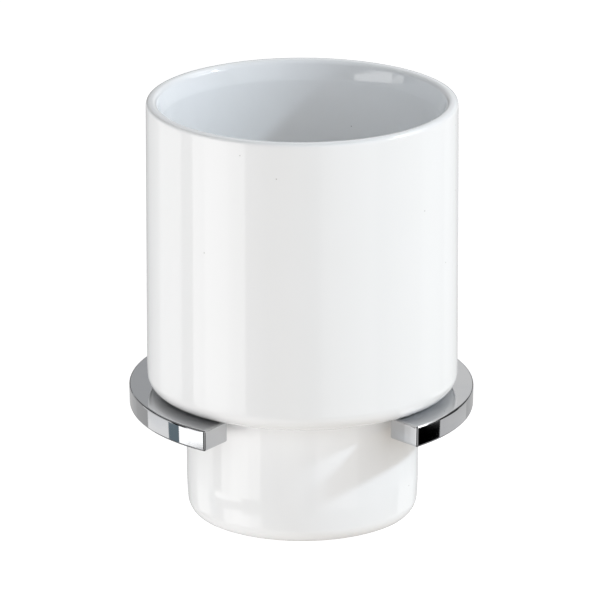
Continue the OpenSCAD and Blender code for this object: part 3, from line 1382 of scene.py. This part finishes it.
@dataclass(frozen=True)
class Fixings:
    """The screws and the plugs, in millimetres."""

    ring_screw_x: float = 7.0
    ring_screw_out: float = 8.0
    ring_screw_len: float = 12.0
    ring_core_r: float = 1.62
    ring_neck_r: float = 1.9
    ring_head_r: float = 3.85
    wall_screw_x: float = 12.0
    wall_screw_out: float = 7.0
    wall_screw_len: float = 38.0
    wall_core_r: float = 1.45
    wall_shank_r: float = 1.98
    wall_head_r: float = 3.9
    shank_to: float = 9.45
    slot: tuple[float, float, float] = (2.2, 0.45, 1.4)
    set_screw_out: float = 3.5
    set_screw_z: float = -22.7
    set_screw_len: float = 5.0
    set_core_r: float = 2.08
    socket_w: float = 2.5
    ring_socket_h: float = 1.6
    set_socket_h: float = 2.0
    plug_y: float = 2.5
    plug_len: float = 30.0
    plug_r: float = 2.98
    plug_low_r: float = 2.66
    plug_bore_r: float = 1.58
    plug_tip_r: float = 2.0
    slit: Point = (0.4, 4.0)
    crisp: float = 35.0

    def socket(self, z0: float, z1: float) -> Blank:
        """The cutter for a hexagon socket.

        Args:
            z0: Its lower end.
            z1: Its upper end.

        Returns:
            The cutter.
        """
        return Blank.prism("socket", arc(0.0, 0.0, self.socket_w / math.sqrt(3), 0, 300, 5), z0, z1)

    def bar(self, half: Point, z0: float, z1: float) -> Blank:
        """The cutter for a slot.

        Args:
            half: Half its length and half its width, along X and Y.
            z0: Its lower end.
            z1: Its upper end.

        Returns:
            The cutter.
        """
        x, y = half
        return Blank.prism("slot", [(-x, -y), (x, -y), (x, y), (-x, y)], z0, z1)

    def ring_screw(self, side: Side) -> bpy.types.Object:
        """A countersunk machine screw with a hexagon socket, driven from the wall side.

        Args:
            side: The side that it is on.

        Returns:
            The finished screw.
        """
        core, tip, head = self.ring_core_r, -self.ring_screw_len, self.ring_head_r
        profile = [
            (0.0, tip), (core * 0.75, tip), (core, tip + 0.6), (core, -2.2),
            (self.ring_neck_r, -2.1), (head, -0.15), (head, -0.02), (head - 0.05, 0.0), (0.0, 0.0),
        ]
        steps = with_steps(profile, 0.09, 0.02)
        blank = Blank.turned(f"ring_screw_{side.value}_dressed", steps, SCREW_STEEL, segments=28)
        thread = Relief(pitch=0.7, depth=0.36, start=tip + 0.3, end=-2.4, fade=0.5)
        blank.raise_relief(thread, SCREW_STEEL)
        blank.cut(self.socket(-self.ring_socket_h, PAST))
        blank.place(on_wall(side.sign * self.ring_screw_x, self.ring_screw_out, Way.TO_WALL))
        return blank.done("wall_holder", SCREW_STEEL, self.crisp)

    def wall_screw(self, side: Side) -> bpy.types.Object:
        """A countersunk wood screw with a cross slot.

        Args:
            side: The side that it is on.

        Returns:
            The finished screw.
        """
        core, shank, head = self.wall_core_r, self.wall_shank_r, self.wall_head_r
        tip, smooth = -self.wall_screw_len, -self.shank_to
        profile = [
            (0.0, tip), (0.35, tip + 0.4), (core, tip + 3.2), (core, smooth - 0.4), (shank, smooth),
            (shank, -2.1), (head, -0.2), (head, -0.05), (head - 0.08, 0.0), (0.0, 0.0),
        ]
        steps = with_steps(profile, 0.22, 0.05)
        blank = Blank.turned(f"wall_screw_{side.value}_dressed", steps, SCREW_STEEL, segments=28)
        start, end = tip + 0.5, smooth - 0.3
        thread = Relief(pitch=1.8, depth=0.5, start=start, end=end, crest=2.6, fade=1.4)
        blank.raise_relief(thread, SCREW_STEEL)
        length, width, depth = self.slot
        for turn in (0.0, math.pi / 2):
            bar = self.bar((length, width), -depth, PAST)
            blank.cut(bar.place(Matrix.Rotation(turn, 4, "Z")))
        blank.place(on_wall(side.sign * self.wall_screw_x, self.wall_screw_out))
        return blank.done("wall_holder", SCREW_STEEL, self.crisp)

    def set_screw(self) -> bpy.types.Object:
        """The set screw, with its socket below and its point up.

        Returns:
            The finished screw.
        """
        core, length = self.set_core_r, self.set_screw_len
        profile = [
            (0.0, 0.0), (core - 0.25, 0.0), (core, 0.25), (core, length - core),
            (0.1, length - 0.1), (0.0, length),
        ]
        steps = with_steps(profile, 0.09, 0.02)
        blank = Blank.turned("set_screw_dressed", steps, SCREW_STEEL, segments=32)
        end = length - core + 0.2
        thread = Relief(pitch=0.8, depth=0.4, start=-0.1, end=end, fade=0.4, from_radius=1.2)
        blank.raise_relief(thread, SCREW_STEEL)
        blank.cut(self.socket(-PAST, self.set_socket_h))
        blank.place(moved((0.0, -self.set_screw_out, self.set_screw_z)))
        return blank.done("lock_screw", SCREW_STEEL, self.crisp)

    def plug(self, side: Side) -> bpy.types.Object:
        """A nylon plug with rings round it and a slit along it.

        Args:
            side: The side that it is on.

        Returns:
            The finished plug.
        """
        length, high, low, bore = self.plug_len, self.plug_r, self.plug_low_r, self.plug_bore_r
        profile = [
            (bore, 0.3), (bore + 0.3, 0.0), (2.85, 0.0), (high, 0.12), (high, 5.6), (low, 5.9),
            (low, length - 5.0), (high, length - 4.7), (high, length - 2.0),
            (self.plug_tip_r, length), (bore, length), (bore, 0.3),
        ]
        steps = with_steps(profile, 0.35, 0.05)
        blank = Blank.turned(f"wall_plug_{side.value}_dressed", steps, NYLON, segments=40)
        rings = Relief(
            pitch=2.1, depth=0.3, start=6.0, end=length - 5.2,
            lead=0.0, crest=1.2, fade=0.6, from_radius=2.2,
        )
        blank.raise_relief(rings, NYLON)
        blank.cut(self.bar(self.slit, 6.0, length - 6.0))
        blank.place(on_wall(side.sign * self.wall_screw_x, -self.plug_y, Way.TO_WALL))
        return blank.done("wall_holder", NYLON, self.crisp)

    def build(self) -> list[bpy.types.Object]:
        """Makes the set screw, and each other piece for both sides.

        Returns:
            The finished pieces.
        """
        pieces = [self.set_screw()]
        for side in Side:
            pieces += [self.ring_screw(side), self.wall_screw(side), self.plug(side)]
        return pieces


# Studio


def grey(value: float, blue: float = 0.0) -> Colour:
    """A grey light, made bluer by a share."""
    return (value * (1 - blue), value, value * (1 + blue))


@dataclass(frozen=True)
class Panel:
    """A wall, soft box or black card of the studio, as it stands round the object, in degrees.

    It reaches from the azimuth left to the azimuth right, counted clockwise from the camera, and
    from the height low to the height high above the horizon.
    """

    left: float
    right: float
    low: float
    high: float
    light: Colour
    soft: float = 0.6

    def share(self, azimuth: Wire, height: Wire) -> Wire:
        """How much of the panel is seen in a direction.

        Args:
            azimuth: The direction's azimuth.
            height: Its height above the horizon.

        Returns:
            1 inside the panel and 0 outside, with soft edges.
        """
        soft = self.soft
        across = azimuth.rise(self.left - soft, self.left + soft)
        across = across - azimuth.rise(self.right - soft, self.right + soft)
        upright = height.rise(self.low - soft, self.low + soft)
        upright = upright - height.rise(self.high - soft, self.high + soft)
        return across * upright


@dataclass(frozen=True)
class Backdrop:
    """Light from all round: level bands up to the given heights, with panels in front of them."""

    bands: tuple[tuple[float, Colour], ...]
    panels: tuple[Panel, ...]
    soft: float = 1.0

    def light(self, graph: Graph, azimuth: Wire, height: Wire) -> Wire:
        """The light that comes from a direction.

        Args:
            graph: The world's graph.
            azimuth: The direction's azimuth, in degrees clockwise from the camera.
            height: Its height above the horizon.

        Returns:
            Its colour.
        """
        light: object = rgba(self.bands[0][1])
        for (edge, _), (_, colour) in zip(self.bands, self.bands[1:]):
            light = graph.mix(light, rgba(colour), height.rise(edge - self.soft, edge + self.soft))
        for panel in self.panels:
            light = graph.mix(light, rgba(panel.light), panel.share(azimuth, height))
        return light


BLACK: Colour = (0.0, 0.0, 0.0)
WHITE: Colour = (1.0, 1.0, 1.0)

# What polished surfaces mirror, from the dark floor up to the dark ceiling
MIRRORED = Backdrop(
    bands=(
        (-60.0, grey(0.05)),
        (-31.0, grey(0.3)),
        (9.0, BLACK),
        (32.0, grey(0.1)),
        (60.0, grey(0.3)),
        (90.0, BLACK),
    ),
    panels=(
        # The walls behind the object, to its left and its right
        Panel(-190.0, -132.0, -45.0, 9.0, grey(0.5)),
        Panel(130.0, 211.0, -45.0, 0.0, grey(0.55)),
        Panel(99.0, 130.0, -45.0, -10.0, grey(0.35)),
        Panel(180.0, 211.0, 9.0, 32.0, grey(0.5, 0.02), 0.3),
        Panel(150.0, 180.0, 9.0, 32.0, grey(0.82), 0.3),
        Panel(90.0, 211.0, 32.0, 60.0, grey(1.0), 2.0),
        # The lamps on the right
        Panel(95.0, 135.0, 40.0, 52.0, grey(3.0), 1.0),
        Panel(64.0, 98.0, 9.0, 17.0, grey(7.0), 1.0),
        Panel(86.0, 112.0, 17.0, 38.0, grey(1.6), 1.0),
        # The left window, and the middle one with its bars
        Panel(-132.0, -101.0, -22.8, 9.0, grey(0.87)),
        Panel(-88.5, -77.0, -31.0, 5.5, grey(1.4)),
        Panel(-77.0, -55.0, -31.0, 7.5, grey(1.95)),
        Panel(-55.0, -42.5, -29.0, 9.0, grey(1.45)),
        Panel(-88.5, -64.0, -22.6, -20.7, grey(0.2), 0.3),
        Panel(-64.0, -42.5, -23.6, -19.6, grey(0.2), 0.3),
        Panel(-88.5, -42.5, 0.0, 5.5, grey(2.4)),
        Panel(-77.0, -42.5, 0.0, 8.5, grey(3.6)),
        # The right window and the pale wall in front
        Panel(13.8, 57.0, -22.0, 26.0, grey(0.6)),
        Panel(-20.0, 0.0, -22.0, -10.0, grey(0.28)),
        Panel(57.0, 99.0, -22.0, 9.0, grey(0.15)),
        # What only the ring faces: pale wall, dark strip and window on the left, black card on the right
        Panel(-132.0, -108.0, -24.0, -19.0, grey(1.15)),
        Panel(-108.0, -98.0, -24.0, -19.0, (0.19, 0.245, 0.28)),
        Panel(-98.0, -76.0, -20.5, -19.2, grey(1.85), 0.2),
        Panel(88.0, 113.0, -24.0, -19.0, BLACK),
        Panel(113.0, 150.0, -24.0, -18.6, grey(0.76)),
    ),
)

# The soft light on everything matt, which comes from wide fields that end gently
GENTLE = 4.0
AMBIENT = Backdrop(
    bands=((-40.0, grey(0.4)), (0.0, grey(1.6)), (40.0, grey(1.1, 0.06)), (90.0, grey(0.45, 0.05))),
    panels=(
        # Below the horizon: the floor on the right and behind, then the walls all round
        Panel(90.0, 211.0, -91.0, -40.0, grey(1.1), GENTLE),
        Panel(-170.0, -120.0, -40.0, 0.0, grey(1.7, -0.04), GENTLE),
        Panel(120.0, 230.0, -40.0, 0.0, grey(1.6), GENTLE),
        Panel(-120.0, -88.0, -40.0, 0.0, grey(1.6), GENTLE),
        Panel(-88.0, -43.0, -40.0, 0.0, grey(2.9, -0.03), 1.0),
        Panel(-43.0, 0.0, -40.0, 0.0, grey(1.6, -0.02), GENTLE),
        Panel(0.0, 60.0, -40.0, 0.0, (0.97, 0.9, 0.83), GENTLE),
        Panel(60.0, 120.0, -40.0, 0.0, (0.85, 0.7, 0.5), GENTLE),
        # Above it: the walls on the left, then the ceiling in front and on the right
        Panel(-120.0, -60.0, 0.0, 40.0, grey(0.4, 0.1), GENTLE),
        Panel(-60.0, 0.0, 0.0, 40.0, grey(0.75, 0.02), GENTLE),
        Panel(-60.0, 60.0, 40.0, 91.0, grey(0.03), GENTLE),
        Panel(60.0, 180.0, 40.0, 91.0, grey(0.72, -0.2), GENTLE),
    ),
)


@dataclass(frozen=True)
class Studio:
    """A white studio: pale and dark panels all round, one soft key light and a pale floor."""

    mirrored: Backdrop = MIRRORED
    ambient: Backdrop = AMBIENT
    camera_azimuth: float = -3.5
    seam: float = -150.0
    key_azimuth: float = 81.4
    key_elevation: float = 32.7
    key_distance: float = 1.5
    key_size: float = 0.14
    key_power: float = 7.7
    key_colour: Colour = (0.87, 1.0, 1.13)
    aim: tuple[float, float, float] = (0.0, -0.064, 0.02)
    floor_z: float = -1.5
    floor_half: float = 40.0

    def direction(self, graph: Graph) -> tuple[Wire, Wire]:
        """The azimuth and the height of each direction, in degrees.

        Args:
            graph: The world's graph.

        Returns:
            Both, the azimuth counted clockwise from the camera and from the seam on.
        """
        x, y, z = graph.split(graph.add("ShaderNodeTexCoord", output="Generated"))
        to_degrees = HALF_TURN / math.pi
        turn = x.math("ARCTAN2", 0.0 - y) * to_degrees - self.camera_azimuth
        azimuth = ((turn - self.seam) / FULL_TURN).math("FRACT") * FULL_TURN + self.seam
        return azimuth, z.math("ARCSINE") * to_degrees

    def world(self) -> None:
        """Both backdrops as the world's light, which the camera sees as plain white."""
        world = bpy.data.worlds.new("studio")
        world.use_nodes = True
        world.node_tree.nodes.clear()
        graph = Graph(world.node_tree)
        azimuth, height = self.direction(graph)
        soft = self.ambient.light(graph, azimuth, height)
        sharp = self.mirrored.light(graph, azimuth, height)
        path = graph.add("ShaderNodeLightPath", output="Is Glossy Ray")
        colour = graph.mix(graph.mix(soft, sharp, path), rgba(WHITE), path.of("Is Camera Ray"))
        back = graph.add("ShaderNodeBackground", inputs={"Color": colour, "Strength": 1.0})
        graph.add("ShaderNodeOutputWorld", inputs={"Surface": back})
        bpy.context.scene.world = world

    def key(self) -> None:
        """The key light, a round soft box on the right."""
        data = bpy.data.lights.new("key", "AREA")
        data.shape = "DISK"
        data.size = self.key_size
        data.energy = self.key_power
        data.color = self.key_colour
        lamp = bpy.data.objects.new("key", data)
        turn = math.radians(self.key_azimuth + self.camera_azimuth)
        up = math.radians(self.key_elevation)
        towards = Vector((math.sin(turn) * math.cos(up), -math.cos(turn) * math.cos(up), math.sin(up)))
        lamp.location = Vector(self.aim) + towards * self.key_distance
        lamp.rotation_mode = "QUATERNION"
        lamp.rotation_quaternion = towards.to_track_quat("Z", "Y")
        lamp.visible_camera = False
        bpy.context.scene.collection.objects.link(lamp)

    def floor(self) -> None:
        """The pale floor, which only the camera sees, so that the walls alone light the object."""
        half = self.floor_half
        corners = [(-half, -half), (half, -half), (half, half), (-half, half)]
        mesh = bpy.data.meshes.new("floor")
        mesh.from_pydata([(x, y, self.floor_z) for x, y in corners], [], [(0, 1, 2, 3)])
        mesh.materials.append(PALE_FLOOR.material())
        floor = bpy.data.objects.new("floor", mesh)
        bpy.context.scene.collection.objects.link(floor)
        floor.visible_glossy = False
        floor.visible_diffuse = False

    def build(self) -> None:
        """Sets up the light, the floor and plain colour management."""
        self.world()
        self.key()
        self.floor()
        view = bpy.context.scene.view_settings
        view.view_transform = "Standard"
        view.look = "None"


@dataclass(frozen=True)
class PhotoCamera:
    """The camera that took the photograph, as its perspective gives it."""

    place: tuple[float, float, float] = (-133.4, -2256.8, 717.1)
    azimuth: float = 3.47
    pitch: float = 17.5
    roll: float = -0.06
    focal_px: float = 9555.0
    frame_px: float = 600.0
    sensor: float = 36.0
    pixel: float = 0.24
    nearest: float = 0.1
    farthest: float = 100.0

    def build(self) -> None:
        """Makes the camera and looks through it."""
        data = bpy.data.cameras.new("photo")
        data.sensor_width = self.sensor
        data.lens = self.focal_px / self.frame_px * self.sensor
        data.clip_start, data.clip_end = self.nearest, self.farthest
        a, p, r = (math.radians(v) for v in (self.azimuth, self.pitch, self.roll))
        ahead = Vector((math.cos(p) * math.sin(a), math.cos(p) * math.cos(a), -math.sin(p)))
        level = Vector((math.cos(a), -math.sin(a), 0.0))
        up = level.cross(ahead)
        right = level * math.cos(r) + up * math.sin(r)
        top = up * math.cos(r) - level * math.sin(r)
        camera = bpy.data.objects.new("photo", data)
        turn = Matrix((right, top, -ahead)).transposed().to_4x4()
        half_pixel = (top - right) * (self.pixel / 2)
        camera.matrix_world = moved(Vector(self.place) + half_pixel) @ turn
        bpy.context.scene.collection.objects.link(camera)
        bpy.context.scene.camera = camera


def main() -> None:
    """Builds the camera, the sub-assemblies and the studio in order."""
    logging.basicConfig(level=logging.INFO, format="%(name)s: %(message)s")
    PhotoCamera().build()
    for assembly in (Tumbler(), HolderRing(), WallCover(), Fixings()):
        for piece in assembly.build():
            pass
    Studio().build()


if __name__ == "__main__":
    main()
